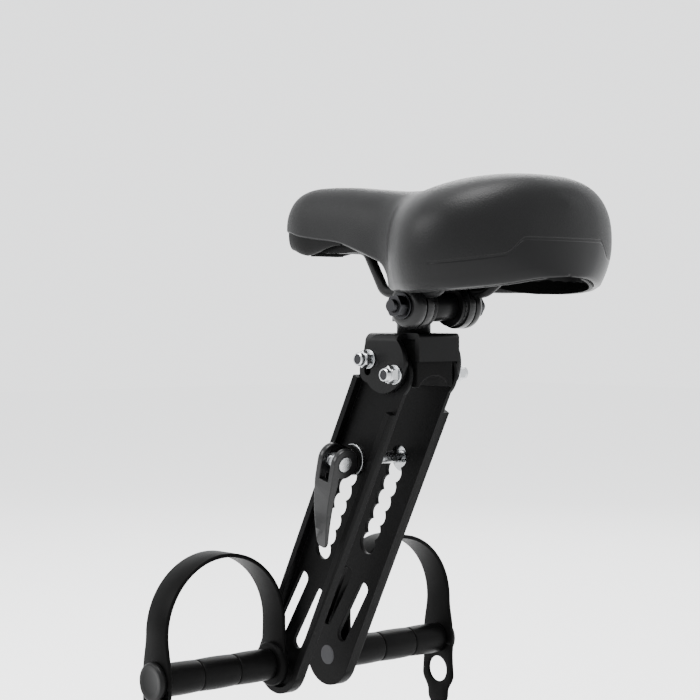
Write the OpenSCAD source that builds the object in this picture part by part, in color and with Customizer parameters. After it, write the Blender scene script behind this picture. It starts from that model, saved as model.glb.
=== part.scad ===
// Child seat for the top tube of an adult bicycle: a padded saddle on a short post,
// a pressed bracket over the tube, two swinging legs with a cam skewer, and two foot pegs
// with rubber foot straps.
// Frame: X points to the rear of the bicycle, -Y to its left side, Z up.
// The origin lies on the axis of the top tube, below the axis of the seat post.

/* [Top tube pad] */
// Diameter of the top tube that the rubber pad sits on
tube_d = 35; // [30:0.5:40]
// Width of the rubber pad across the tube
pad_w = 32; // [31:0.5:34]
// Rubber between the crown of the tube and the bracket plate
pad_rise = 23.5; // [20:0.5:30]
// Length of the pad along the tube
pad_l = 40; // [34:1:50]
// Share of the tube's circle that the pad wraps
pad_wrap = 0.305; // [0.3:0.005:0.33]

/* [Bracket] */
// Thickness of the pressed bracket
bracket_t = 4; // [3:0.25:5]
// Outside bend radius of the bracket
bend_r = 6; // [5:0.5:8]
// Width of the plate in front of the ears and of the rear flange
plate_w = 36; // [33:0.5:40]
// Front edge of the plate, ahead of the post
plate_front = 20; // [18:0.5:24]
// Rear face of the rear flange, behind the post
flange_x = 24; // [22:0.5:28]
// Height of the rear flange
flange_h = 18.3; // [14:0.5:22]
// Front edge of the ear at its bend
ear_front = 18.5; // [16:0.5:20]
// Rear edge of the ear at its bend
ear_rear = 11; // [9:0.5:13]
// Radius of the ear's round lower end
ear_r = 19.7; // [18.5:0.1:21]
// Clearance between an ear and the leg inside it
ear_gap = 0.3; // [0.2:0.1:0.6]

/* [Seat post and rail clamp] */
// Diameter of the stub post
post_d = 22.2; // [20:0.1:25.4]
// Height of the stub post above the plate
post_h = 29; // [27:0.5:36]
// Height of the clamp stud above the plate
stud_rise = 17.4; // [16.5:0.1:20]
// Distance of the clamp stud behind the post axis
stud_x = 21; // [20:0.5:24]
// Diameter of the clamp stud
stud_d = 8; // [7:0.5:9]
// Spacing of the saddle rails, centre to centre
rail_span = 44; // [42:0.5:46]
// Diameter of the rail wire
rail_d = 7; // [6.5:0.1:7.5]
// Radius of the clamp cups
cup_r = 14.6; // [14:0.1:15.5]
// Wall of the post band
band_t = 3; // [2.5:0.25:3.5]
// Height of the post band
band_h = 20; // [16:1:22]

/* [Saddle] */
// Length of the saddle
saddle_l = 252; // [230:1:280]
// Width of the saddle at the wings
saddle_w = 154; // [130:1:180]
// Distance of the nose tip ahead of the post
saddle_nose = 118; // [100:1:135]
// Height of the saddle's crown above the rails
saddle_rise = 73; // [66:1:82]
// Thickness of the foam over the base shell
foam_t = 15; // [10:0.5:20]
// Wall of the base shell
shell_t = 3; // [2.5:0.25:4]

/* [Legs] */
// Forward tilt of the legs from the vertical
leg_tilt = 26.9; // [20:0.1:32]
// Width of a leg
leg_w = 42.8; // [40:0.2:46]
// Thickness of a leg's web
web_t = 3.2; // [2.8:0.1:4]
// Gap between the pad and the inner face of a leg
leg_gap = 2.6; // [1.5:0.1:4]
// Height of the raised rim above the web
rim_h = 5.4; // [3:0.2:8]
// Width of the raised rim
rim_w = 4.5; // [3:0.1:6]
// Distance from the bolt line to the peg axis along the leg
leg_reach = 231; // [210:1:260]
// Spacing of the two bolts in the head of a leg
bolt_span = 26.4; // [25:0.1:28]
// Turn of the bolt line and the strap slots against the leg
pattern_turn = 5.5; // [0:0.5:8]
// Diameter of the leg bolts
bolt_d = 6; // [5:0.5:6.5]
// Travel of the leg bolt in the curved slot, towards the vertical
swing_back = 17; // [10:1:18]
// Travel of the leg bolt in the curved slot, away from the vertical
swing_front = 4; // [2:0.5:5]

/* [Leg slots] */
// Number of notches in the wavy slot
notch_n = 7; // [4:1:7]
// Spacing of the notches
notch_pitch = 11.5; // [11:0.1:12.5]
// Radius of a notch
notch_r = 7.5; // [7:0.1:8]
// Distance from the bolt line to the first notch
notch_start = 69.4; // [66:0.1:74]
// Length of a strap slot
slot_l = 49.8; // [30:0.2:54]
// Width of a strap slot
slot_w = 9.2; // [6:0.2:10]
// Spacing of the two strap slots
slot_span = 18.9; // [17:0.1:20]
// Distance from the bolt line to the middle of the strap slots
slot_mid = 188.6; // [184:0.2:192]

/* [Cam skewer] */
// Diameter of the skewer rod
rod_d = 8; // [7:0.5:9]
// Diameter of the threaded end of the rod
thread_d = 6; // [5:0.5:6.5]
// Distance of the barrel pin from the middle of the bracket
pin_y = 37.5; // [36:0.5:42]
// Diameter of the barrel pin
pin_d = 9.8; // [9:0.1:11]
// Radius of the cam lobes
cam_r = 10; // [9:0.2:11]
// Offset of the cam lobes from the pin
cam_offset = 1; // [0.5:0.1:1.4]
// Width of the fork of the lever
fork_w = 17.5; // [16:0.5:20]
// Thickness of each fork ear
fork_t = 4.4; // [3.5:0.1:4.8]
// Length of the lever from the pin
lever_l = 60; // [50:1:75]
// Width of the lever at its tip
lever_tip_w = 9.4; // [7:0.2:12]
// Forward tilt of the lever from the vertical
lever_tilt = 15; // [10:0.5:24]

/* [Foot pegs] */
// Length of one segment of the grip
segment_l = 30.6; // [24:0.2:34]
// Diameter of the grip
grip_d = 22; // [20:0.2:25]
// Diameter of the peg's steel core
core_d = 12; // [10:0.5:14]
// Diameter of the end cap
cap_d = 26; // [24.5:0.2:30]
// Thickness of the end cap
cap_t = 4.4; // [3:0.2:6]
// Diameter of the moulded collar at the leg
collar_d = 30; // [26:0.5:32]

/* [Foot straps] */
// Width of the rubber strap
strap_w = 22.5; // [18:0.5:26]
// Thickness of the rubber strap
strap_t = 2.8; // [2.4:0.1:4]
// Height of the straight sides of the strap above the peg axis
strap_side = 30; // [20:1:40]
// Width of the lobes round the strap's holes
lobe_d = 27; // [25:0.5:32]
// Diameter of the adjusting hole in the tail
tail_hole_d = 18.6; // [12:0.2:20]
// Spacing of the strap's holes
tail_pitch = 20.5; // [18:0.5:24]
// Length of the tail below the peg axis
tail_l = 50; // [44:1:60]
// Width of the tail's tongue
tongue_w = 17.5; // [14:0.5:20]

/* [Hidden] */
$fn = 64;
eps = 0.01;
seat_gap = 0.05;
run_gap = 0.08;

// Heights of the bracket and the clamp
tube_r = tube_d / 2;
plate_under = tube_r + pad_rise;
plate_top = plate_under + bracket_t;
stud_z = plate_top + stud_rise;
rail_lift = stud_d / 2 + rail_d / 2 + 1.1;
rail_z = stud_z + rail_lift;
flange_bottom = plate_top - flange_h;

// Distances from the middle plane to the faces of the legs and ears
web_in = pad_w / 2 + leg_gap;
web_out = web_in + web_t;
rim_out = web_out + rim_h;
ear_in = web_out + ear_gap;
ear_out = ear_in + bracket_t;

// Bolts in the ears: the rear one is the pivot, the front one runs in the curved slot
ear_c = [-1.8, plate_top - 19.3];
pivot = [10.1, plate_top - 26.6];
bolt_line = leg_tilt - pattern_turn;
guide = pivot + bolt_span * [-cos(bolt_line), sin(bolt_line)];
head_c = (pivot + guide) / 2;
lug_c = pivot + bolt_span * [cos(180 + swing_back - bolt_line), sin(180 + swing_back - bolt_line)];
lug_r = 7.6;

// Leg frame: x across the leg towards the rear, z up along the leg
leg_r = leg_w / 2;
crown_r = 16.2;
crown_c = [6.8, -1.9];
ear_lobe_r = leg_r - bolt_span / 2 * cos(pattern_turn);
rim_left = 17;
rim_right = 24;
peg = [head_c[0] - leg_reach * sin(leg_tilt), head_c[1] - leg_reach * cos(leg_tilt)];
axle = [head_c[0] - notch_start * sin(leg_tilt), head_c[1] - notch_start * cos(leg_tilt)];

// Pegs and straps, measured outwards from the middle plane
strap_in = rim_out + 1.4;
grip_in = strap_in + strap_t + 4;
grip_out = grip_in + 3 * segment_l;
strap_out = grip_out + strap_t;
strap_mid_r = (strap_out - strap_in - strap_t) / 2;
strap_mid_y = (strap_out + strap_in) / 2;

black_paint = [0.09, 0.09, 0.095];
rubber = [0.11, 0.11, 0.11];
zinc = [0.78, 0.79, 0.8];

// Puts a drawing in the XZ plane and gives it the depth from a to b on the left side
module slab_left(a, b) {
    translate([0, -a, 0]) rotate([90, 0, 0]) linear_extrude(b - a) children();
}

module both_sides() {
    children();
    mirror([0, 1, 0]) children();
}

module rod_left(at, d, a, b) {
    translate([at[0], -a, at[1]]) rotate([90, 0, 0]) cylinder(d = d, h = b - a);
}

module leg_frame() {
    translate([head_c[0], 0, head_c[1]]) rotate([0, leg_tilt, 0]) children();
}

// Value of a table of [place, a, b, c] rows at a place, on a smooth curve through the rows
function row_at(t, u, i = 0) = i >= len(t) - 2 || u <= t[i + 1][0] ? i : row_at(t, u, i + 1);
function slope_at(t, i, k) =
    i == 0 ? (t[1][k] - t[0][k]) / (t[1][0] - t[0][0]) :
    i == len(t) - 1 ? (t[i][k] - t[i - 1][k]) / (t[i][0] - t[i - 1][0]) :
    (t[i + 1][k] - t[i - 1][k]) / (t[i + 1][0] - t[i - 1][0]);
function smooth(t, u, k) =
    let (i = row_at(t, u), h = t[i + 1][0] - t[i][0], s = (u - t[i][0]) / h,
         m0 = slope_at(t, i, k) * h, m1 = slope_at(t, i + 1, k) * h)
    (2 * s * s * s - 3 * s * s + 1) * t[i][k] + (s * s * s - 2 * s * s + s) * m0
    + (3 * s * s - 2 * s * s * s) * t[i + 1][k] + (s * s * s - s * s) * m1;

// Saddle stations from nose to tail: share of the length, share of the half width,
// crown height and edge height as shares of the height from the rails to the crown,
// height of the widest line as a share of the height from the edge to the crown,
// how far the edge tucks in below it, and the depth of the base shell below the edge
SADDLE = [
    [0.000, 0.06, 0.66, 0.60, 0.12, 0, 3], [0.012, 0.15, 0.80, 0.575, 0.12, 0, 5],
    [0.04, 0.205, 0.92, 0.565, 0.12, 0, 7], [0.09, 0.245, 0.98, 0.525, 0.12, 0, 8],
    [0.16, 0.26, 0.99, 0.49, 0.12, 0, 8], [0.26, 0.28, 0.975, 0.45, 0.12, 0, 6],
    [0.34, 0.305, 0.948, 0.375, 0.13, 0, 0], [0.42, 0.325, 0.92, 0.285, 0.17, 0, -5],
    [0.455, 0.345, 0.91, 0.235, 0.22, 0, -7], [0.49, 0.385, 0.905, 0.13, 0.26, 0, -8],
    [0.515, 0.445, 0.904, 0.05, 0.28, 0, -8.5], [0.54, 0.52, 0.903, 0.015, 0.30, 1, -9],
    [0.60, 0.70, 0.91, 0.0, 0.32, 5, -4], [0.66, 0.86, 0.925, 0.0, 0.34, 6, 0],
    [0.73, 0.98, 0.955, -0.012, 0.36, 6, 0], [0.80, 1.01, 0.98, -0.004, 0.38, 8, 0],
    [0.88, 0.925, 0.985, 0.018, 0.40, 11, 0], [0.945, 0.72, 0.95, 0.054, 0.42, 12, 0],
    [0.984, 0.43, 0.86, 0.10, 0.45, 8, 0], [0.995, 0.24, 0.78, 0.11, 0.50, 4, 0],
    [1.0, 0.09, 0.68, 0.13, 0.50, 1.5, 0]
];
saddle_steps = 40;
saddle_sides = 18;
flank_sides = 3;
base_from = 7;
base_to = 37;
// Stations crowd towards the round ends
function station(i) = (1 - cos(180 * i / saddle_steps)) / 2;
function crown(u) = rail_z + saddle_rise * smooth(SADDLE, u, 2);
function edge(u) = rail_z + saddle_rise * smooth(SADDLE, u, 3);
function half_w(u) = saddle_w / 2 * smooth(SADDLE, u, 1);
function belly(u) = smooth(SADDLE, u, 4);
function tuck(u) = saddle_w / 154 * smooth(SADDLE, u, 5);
function shell_drop(u) = smooth(SADDLE, u, 6);
function round_pow(v, p) = sign(v) * pow(abs(v), p);

// One arch across the saddle at a station, pulled in by side and down by top
function arch(u, side, top, drop) =
    let (w = max(half_w(u) - side, 1.6), waist = belly(u) * (crown(u) - edge(u)),
         h = max(min(crown(u) - edge(u) - waist - top, top > 0 ? 2.2 * w : 200), 1.2),
         flank = [for (k = [0 : flank_sides - 1])
             let (fall = (waist + drop) * (1 - k / flank_sides))
             [w - min(tuck(u), w / 2) * pow(fall / waist, 2), edge(u) + waist - fall]])
    concat(
        [for (p = flank) [-saddle_nose + u * saddle_l, -p[0], p[1]]],
        [for (j = [0 : saddle_sides]) let (a = 180 * j / saddle_sides - 90)
            [-saddle_nose + u * saddle_l, w * round_pow(sin(a), 0.8),
             edge(u) + waist + h * round_pow(cos(a), 0.8)]],
        [for (k = [flank_sides - 1 : -1 : 0]) let (p = flank[k]) [-saddle_nose + u * saddle_l, p[0], p[1]]]);

// Closed solid through a row of rings; each end is closed by strips across the ring
module loft(rows) {
    n = len(rows[0]);
    half = n / 2;
    last = len(rows) - 1;
    points = [for (r = rows) for (p = r) p];
    faces = concat(
        [for (i = [0 : last - 1]) for (j = [0 : n - 1])
            each [[i * n + j, i * n + (j + 1) % n, (i + 1) * n + j],
                  [(i + 1) * n + j, i * n + (j + 1) % n, (i + 1) * n + (j + 1) % n]]],
        [for (j = [0 : half - 2]) [n - 1 - j, n - 2 - j, j + 1, j]],
        [for (j = [0 : half - 2])
            [last * n + j, last * n + j + 1, last * n + n - 2 - j, last * n + n - 1 - j]]);
    polyhedron(points, faces, convexity = 6);
}

function reversed(v) = [for (i = [len(v) - 1 : -1 : 0]) v[i]];

module saddle_cover() {
    color(rubber) loft([for (i = [0 : saddle_steps]) let (u = station(i))
        concat(arch(u, 0, 0, 0), reversed(arch(u, 6, foam_t, 0)))]);
}

// Rail path on the left side: corners, each rounded by a curve that starts rail_cut before it
nose_socket = [-86, -6.4, rail_z + 31];
tail_socket = [88, -27, rail_z + 24];
tail_roof = crown((tail_socket[0] + saddle_nose) / saddle_l) - foam_t - 4;
rail_y = rail_span / 2;
RAIL = [nose_socket, nose_socket + [14, 0, 0], [-37, -7.8, rail_z + 29], [-4, -rail_y, rail_z],
        [44, -rail_y, rail_z], tail_socket - [13, 0, 0], tail_socket];
rail_cut = [0, 5, 8, 7, 5, 5, 0];
ring_n = 20;

function unit(v) = v / norm(v);
function corner(i) =
    let (p = RAIL[i], a = p - unit(p - RAIL[i - 1]) * rail_cut[i], b = p + unit(RAIL[i + 1] - p) * rail_cut[i])
    [for (k = [0 : 6]) let (t = k / 6) (1 - t) * (1 - t) * a + 2 * t * (1 - t) * p + t * t * b];
PATH = concat([RAIL[0]], [for (i = [1 : len(RAIL) - 2]) for (p = corner(i)) p], [RAIL[len(RAIL) - 1]]);
function tangent(i) = unit(PATH[min(i + 1, len(PATH) - 1)] - PATH[max(i - 1, 0)]);
function ring(i) = let (t = tangent(i), e = unit(cross(t, [0, 1, 0])), f = cross(e, t))
    [for (k = [0 : ring_n - 1]) let (a = 360 * k / ring_n) PATH[i] + rail_d / 2 * (cos(a) * e + sin(a) * f)];

module saddle_rails() {
    color(black_paint) both_sides() loft([for (i = [0 : len(PATH) - 1]) ring(i)]);
}

// Sockets of the base shell that the rail ends push into
module rail_socket(at, size, top, off) {
    difference() {
        translate(at - size / 2) cube([size[0], size[1], top - at[2] + size[2] / 2]);
        translate([at[0] - size[0], at[1] - off, at[2]]) rotate([0, 90, 0])
            cylinder(d = rail_d + 2 * seat_gap, h = 2 * size[0]);
    }
}

module saddle_base() {
    color(black_paint) {
        loft([for (i = [base_from : base_to]) let (u = station(i), d = shell_drop(u))
            concat(arch(u, 6.3, foam_t + 0.3, d),
                   reversed(arch(u, 6.3 + shell_t, foam_t + 0.3 + shell_t, d)))]);
        both_sides() {
            rail_socket(nose_socket + [0, 1.2, 0], [8, 12.4, 11], nose_socket[2] + 7.5, 1.2);
            rail_socket(tail_socket, [8, 14, 14], tail_roof, 0);
        }
    }
}

module stub_post() {
    color(black_paint) translate([0, 0, plate_top]) cylinder(d = post_d, h = post_h);
}

module ear_drawing() {
    inside = ear_r - 0.4;
    polygon([[-ear_front, plate_top - bend_r], [ear_rear, plate_top - bend_r],
             [ear_c[0] + inside * cos(12), ear_c[1] + inside * sin(12)], ear_c,
             [ear_c[0] - inside * cos(12), ear_c[1] + inside * sin(12)]]);
    translate(ear_c) circle(ear_r);
    translate(lug_c) circle(lug_r);
}

// Quarter bend along X from the plate to an ear on the left side
module ear_bend() {
    translate([-ear_front, -(ear_out - bend_r), plate_top - bend_r]) rotate([0, 90, 0])
        rotate([0, 0, 180]) intersection() {
            difference() {
                cylinder(r = bend_r, h = ear_front + ear_rear);
                translate([0, 0, -1]) cylinder(r = bend_r - bracket_t, h = ear_front + ear_rear + 2);
            }
            cube([bend_r + 1, bend_r + 1, 200]);
        }
}

module curved_slot() {
    turn = bolt_line;
    slot_r = bolt_d / 2 + run_gap;
    for (a = [180 - turn - swing_front, 180 - turn + swing_back])
        translate([pivot[0] + bolt_span * cos(a), 0, pivot[1] + bolt_span * sin(a)])
            rotate([90, 0, 0]) cylinder(r = slot_r, h = 100, center = true);
    translate([pivot[0], 0, pivot[1]]) rotate([90, 0, 0]) rotate([0, 0, 180 - turn - swing_front])
        rotate_extrude(angle = swing_front + swing_back)
            translate([bolt_span - slot_r + 0.03, -50]) square([2 * slot_r - 0.06, 100]);
}

module bracket() {
    color(black_paint) difference() {
        union() {
            translate([-plate_front, -plate_w / 2, plate_under])
                cube([plate_front + flange_x - bend_r / 2, plate_w, bracket_t]);
            translate([-ear_front, -(ear_out - bend_r), plate_under])
                cube([ear_front + ear_rear, 2 * (ear_out - bend_r), bracket_t]);
            translate([flange_x - bracket_t, -plate_w / 2, flange_bottom])
                cube([bracket_t, plate_w, flange_h - bend_r / 2]);
            translate([flange_x - bend_r / 2, plate_w / 2, plate_top - bend_r / 2]) rotate([90, 0, 0])
                intersection() {
                    cylinder(r = bend_r / 2, h = plate_w);
                    cube([bend_r, bend_r, plate_w]);
                }
            both_sides() {
                ear_bend();
                slab_left(ear_in, ear_out) ear_drawing();
            }
        }
        curved_slot();
        rod_left(pivot, bolt_d + 2 * run_gap, -60, 60);
    }
}

module tube_pad() {
    lip = tube_r * cos(180 * pad_wrap);
    color(rubber) difference() {
        translate([flange_x - bracket_t - pad_l, -pad_w / 2, lip])
            cube([pad_l, pad_w, plate_under - lip]);
        translate([-80, 0, 0]) rotate([0, 90, 0]) cylinder(d = tube_d, h = 160);
    }
}

// Rail clamp. The stud crosses behind the post; each side has a band lug,
// a ribbed inner cheek, the rail, and a domed outer cup.
lug_in = post_d / 2 + seat_gap;
lug_out = lug_in + band_t;
cheek_out = rail_span / 2 - 0.6;
cup_in = rail_span / 2 + 0.6;
cup_out = cup_in + 7.4;
washer_t = 1.5;
stud_at = [stud_x, stud_z];
rib_n = 24;

module ribs(y, r_in, r_out, deep) {
    for (i = [0 : rib_n - 1])
        translate([stud_x, -y, stud_z]) rotate([0, i * 360 / rib_n, 0])
            translate([r_in, -deep, -0.35]) cube([r_out, 2 * deep, 0.7]);
}

module post_band() {
    r = post_d / 2 + seat_gap;
    color(black_paint) difference() {
        union() {
            translate([0, 0, stud_z - band_h / 2]) cylinder(r = r + band_t, h = band_h);
            both_sides() {
                translate([0, -lug_out, stud_z - band_h / 2]) cube([stud_x, lug_out - lug_in, band_h]);
                rod_left(stud_at, 2 * cup_r - 3, lug_in, lug_out);
            }
        }
        translate([0, 0, stud_z - band_h]) cylinder(r = r, h = 2 * band_h);
        translate([0, -lug_in, stud_z - band_h]) cube([3 * stud_x, 2 * lug_in, 2 * band_h]);
        rod_left(stud_at, stud_d + 2 * run_gap, -60, 60);
        both_sides() ribs(lug_out, cup_r - 5, cup_r, 0.5);
    }
}

module clamp_stud() {
    color(zinc) rod_left(stud_at, stud_d, -(cup_out + 11), cup_out + 11);
}

module rail_groove(y) {
    translate([stud_x - 40, -y, rail_z]) rotate([0, 90, 0]) cylinder(d = rail_d + 2 * seat_gap, h = 80);
}

module clamp_inner_cheeks() {
    color(black_paint) both_sides() difference() {
        union() {
            rod_left(stud_at, 2 * cup_r - 3, lug_out + seat_gap, lug_out + 4);
            rod_left(stud_at, 2 * cup_r - 8, lug_out + 3, cheek_out);
            rod_left(stud_at, 2 * cup_r, cheek_out - 5.4, cheek_out);
        }
        rod_left(stud_at, stud_d + 2 * run_gap, 0, 60);
        rail_groove(rail_span / 2);
        ribs(lug_out + seat_gap, cup_r - 5, cup_r, 0.5);
    }
}

module clamp_outer_cups() {
    dome = cup_out - cup_in - 2.4;
    color(black_paint) both_sides() difference() {
        translate([stud_x, -cup_in, stud_z]) rotate([90, 0, 0]) rotate_extrude()
            polygon(concat([[0, 0], [cup_r, 0]],
                [for (a = [0 : 15 : 75]) [cup_r - dome + dome * cos(a), 2.4 + dome * sin(a)]],
                [[cup_r - dome, cup_out - cup_in], [0, cup_out - cup_in]]));
        rod_left(stud_at, stud_d + 2 * run_gap, 0, 60);
        rail_groove(rail_span / 2);
    }
}

module clamp_washers() {
    color(zinc) both_sides() difference() {
        rod_left(stud_at, 17, cup_out, cup_out + washer_t);
        rod_left(stud_at, stud_d + 2 * run_gap, 0, 60);
    }
}

// Hexagon nut on the left side, with its corners rounded by a cone-free turned edge
module hex_nut(at, flats, d, a, b) {
    difference() {
        intersection() {
            translate([at[0], -a, at[1]]) rotate([90, 0, 0]) cylinder(r = flats / sqrt(3), h = b - a, $fn = 6);
            rod_left(at, flats * 1.1, a, b);
        }
        rod_left(at, d + 2 * seat_gap, a - 1, b + 1);
    }
}

module clamp_nuts() {
    color(black_paint) both_sides()
        hex_nut(stud_at, 13, stud_d, cup_out + washer_t, cup_out + washer_t + 6.5);
}

// Leg, drawn across (x) and along (y, upwards) the leg
module leg_outline() {
    lobe = [-leg_r + ear_lobe_r, -bolt_span / 2 * sin(pattern_turn)];
    translate(crown_c) circle(crown_r);
    translate(lobe) circle(ear_lobe_r);
    polygon([[-leg_r, -leg_reach], [-leg_r, lobe[1]], lobe + ear_lobe_r * [cos(112), sin(112)],
             crown_c + crown_r * [cos(112), sin(112)], crown_c, [leg_r, crown_c[1] - 7], [leg_r, -leg_reach]]);
}

// Space inside the raised rim, open at the head of the leg
module pocket() {
    inner = leg_r - rim_w;
    translate([-inner, -leg_reach]) square([2 * inner, leg_reach + 40]);
    translate([0, -leg_reach]) circle(inner);
    polygon([[-40, 40], [-40, -rim_left], [0, -rim_left], [0, -rim_right], [40, -rim_right], [40, 40]]);
}

module wavy_slot() {
    for (i = [0 : notch_n - 1]) translate([0, -notch_start - i * notch_pitch]) circle(notch_r);
}

module strap_slots() {
    straight = slot_l - slot_w;
    translate([-0.7, -slot_mid]) rotate(-pattern_turn) for (s = [-1, 1])
        translate([s * slot_span / 2, 0]) {
            square([slot_w, straight], center = true);
            for (e = [-1, 1]) translate([0, e * straight / 2]) circle(d = slot_w);
        }
}

module leg_holes() {
    hole = bolt_d + 2 * seat_gap;
    for (s = [-1, 1])
        translate([s * bolt_span / 2 * cos(pattern_turn), s * bolt_span / 2 * sin(pattern_turn)])
            circle(d = hole);
    translate([0, -leg_reach]) circle(d = 8 + 2 * seat_gap);
}

head_k = 1.7;

module countersink(at, d) {
    mouth = head_k * d + 2.4;
    translate([at[0], -(web_in - 1), at[1]]) rotate([90, 0, 0])
        cylinder(d1 = mouth, d2 = d - 1, h = (mouth - d + 1) / 2);
}

module one_leg() {
    difference() {
        leg_frame() difference() {
            union() {
                slab_left(web_in, rim_out) leg_outline();
                slab_left(web_in, rim_out) translate([0, -leg_reach]) circle(leg_r);
            }
            slab_left(web_out, rim_out + 1) pocket();
            slab_left(web_in - 1, web_out + 1) {
                wavy_slot();
                strap_slots();
                leg_holes();
            }
        }
        countersink(pivot, bolt_d);
        countersink(guide, bolt_d);
        countersink(peg, 8);
    }
}

module leg_left() { color(black_paint) one_leg(); }
module leg_right() { color(black_paint) mirror([0, 1, 0]) one_leg(); }

bolt_end = ear_out + 10.2;

module flat_head_bolt(at, d, tip) {
    depth = (head_k - 1) * d / 2;
    rod_left(at, d, web_in + 0.1, tip);
    translate([at[0], -(web_in + 0.1), at[1]]) rotate([90, 0, 0]) cylinder(d1 = head_k * d, d2 = d, h = depth);
}

module leg_bolts() {
    color(zinc) both_sides() for (at = [pivot, guide]) flat_head_bolt(at, bolt_d, bolt_end);
}

module leg_washers() {
    color(zinc) both_sides() for (at = [pivot, guide]) difference() {
        rod_left(at, 12.5, ear_out + seat_gap, ear_out + 1.4);
        rod_left(at, bolt_d + 2 * seat_gap, 0, 60);
    }
}

module leg_nuts() {
    color(zinc) both_sides() for (at = [pivot, guide]) {
        hex_nut(at, 10, bolt_d, ear_out + 1.4, ear_out + 6);
        difference() {
            rod_left(at, 8.6, ear_out + 6, ear_out + 7.8);
            rod_left(at, bolt_d + 2 * seat_gap, 0, 80);
        }
    }
}

// Cam skewer through the first notches
washer_out = web_out + 2.2;
cushion_out = pin_y - 6;
nut_out = washer_out + 9;

module skewer_rod() {
    color(zinc) {
        rod_left(axle, rod_d, -washer_out + 1, washer_out);
        rod_left(axle, thread_d, washer_out - eps, pin_y + pin_d / 2);
        rod_left(axle, thread_d, -(nut_out + 1.5), -washer_out + 1 + eps);
    }
}

module skewer_washers() {
    color(zinc) {
        difference() {
            rod_left(axle, 21, web_out + seat_gap, washer_out);
            rod_left(axle, rod_d + 2 * seat_gap, 0, 60);
        }
        difference() {
            rod_left(axle, 21, -washer_out, -web_out - seat_gap);
            rod_left(axle, rod_d + 2 * seat_gap, -60, 0);
        }
    }
}

module skewer_nut() {
    color(black_paint) difference() {
        union() {
            rod_left(axle, 17, -(washer_out + 3), -washer_out);
            rod_left(axle, 12.5, -nut_out, -(washer_out + 3) + eps);
        }
        rod_left(axle, thread_d + 2 * seat_gap, -80, 0);
    }
}

module pin_frame() {
    translate([axle[0], -pin_y, axle[1]]) rotate([0, lever_tilt, 0]) children();
}

module cam_cushion() {
    color(black_paint) difference() {
        rod_left(axle, 20, washer_out, cushion_out);
        rod_left(axle, thread_d + 2 * run_gap, 0, 80);
        pin_frame() rotate([0, 90, 0]) cylinder(r = cam_r + cam_offset + 0.3, h = 60, center = true);
    }
}

module barrel_pin() {
    color(zinc) difference() {
        pin_frame() rotate([0, 90, 0]) cylinder(d = pin_d, h = fork_w + 0.6, center = true);
        rod_left(axle, thread_d + 2 * seat_gap, 0, 80);
    }
}

// Lever drawn in the plane of its swing: x away from the leg, y up along the lever
module lever_drawing() {
    root = cam_r - 1;
    translate([-cam_offset, 0]) circle(cam_r);
    polygon(concat(
        [for (i = [0 : 10]) let (t = i / 10) [root - 9.4 * t + 2.6 * sin(180 * t), -lever_l * t]],
        [for (i = [10 : -1 : 0]) let (t = i / 10)
            [root - 6.5 - 5.2 * t + 2.0 * sin(180 * t), -lever_l * t]]));
}

// Side of the lever that tapers from the fork to the tip
module lever_side() {
    polygon([[fork_w / 2, -14], [lever_tip_w / 2, -lever_l + 3], [lever_tip_w / 2 - 2.5, -lever_l - 1],
             [fork_w, -lever_l - 1], [fork_w, -14]]);
}

module cam_lever() {
    color(black_paint) pin_frame() difference() {
        union() {
            rotate([90, 0, 90]) mirror([1, 0, 0]) linear_extrude(fork_w, center = true) lever_drawing();
            rotate([0, 90, 0]) cylinder(r = 0.8 * cam_r, h = fork_w, center = true);
        }
        for (m = [0, 1]) mirror([m, 0, 0]) rotate([90, 0, 0]) linear_extrude(80, center = true) lever_side();
        rotate([0, 90, 0]) cylinder(d = pin_d + 2 * run_gap, h = 60, center = true);
        translate([0, 0, 1]) cube([fork_w - 2 * fork_t, 60, 2 * cam_r + 8], center = true);
    }
}

// Pegs
module one_core() {
    difference() {
        rod_left(peg, core_d, web_out, strap_out + cap_t / 2);
        rod_left(peg, 8 + 2 * seat_gap, web_out - 1, web_out + 25);
    }
}

module peg_core_left() { color(zinc) one_core(); }
module peg_core_right() { color(zinc) mirror([0, 1, 0]) one_core(); }

module peg_bolts() {
    color(zinc) both_sides() flat_head_bolt(peg, 8, web_out + 22);
}

module one_grip() {
    groove = 0.9;
    difference() {
        rod_left(peg, grip_d, grip_in, grip_out - seat_gap);
        rod_left(peg, core_d + 2 * seat_gap, 0, 200);
        for (i = [1, 2]) translate([peg[0], -(grip_in + i * segment_l), peg[1]]) rotate([90, 0, 0])
            difference() {
                cylinder(d = grip_d + 4, h = 2 * groove, center = true);
                cylinder(d = grip_d - 2 * groove, h = 4 * groove, center = true);
            }
    }
}

module peg_grip_left() { color(rubber) one_grip(); }
module peg_grip_right() { color(rubber) mirror([0, 1, 0]) one_grip(); }

module one_cap() {
    edge_r = 1.6;
    difference() {
        translate([peg[0], -(strap_out + seat_gap), peg[1]]) rotate([90, 0, 0]) rotate_extrude()
            polygon(concat([[0, 0], [cap_d / 2, 0]],
                [for (a = [0 : 15 : 90]) [cap_d / 2 - edge_r + edge_r * cos(a), cap_t - edge_r + edge_r * sin(a)]],
                [[0, cap_t]]));
        rod_left(peg, core_d + 2 * seat_gap, 0, strap_out + cap_t / 2 + seat_gap);
    }
}

module peg_cap_left() { color(rubber) one_cap(); }
module peg_cap_right() { color(rubber) mirror([0, 1, 0]) one_cap(); }

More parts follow.
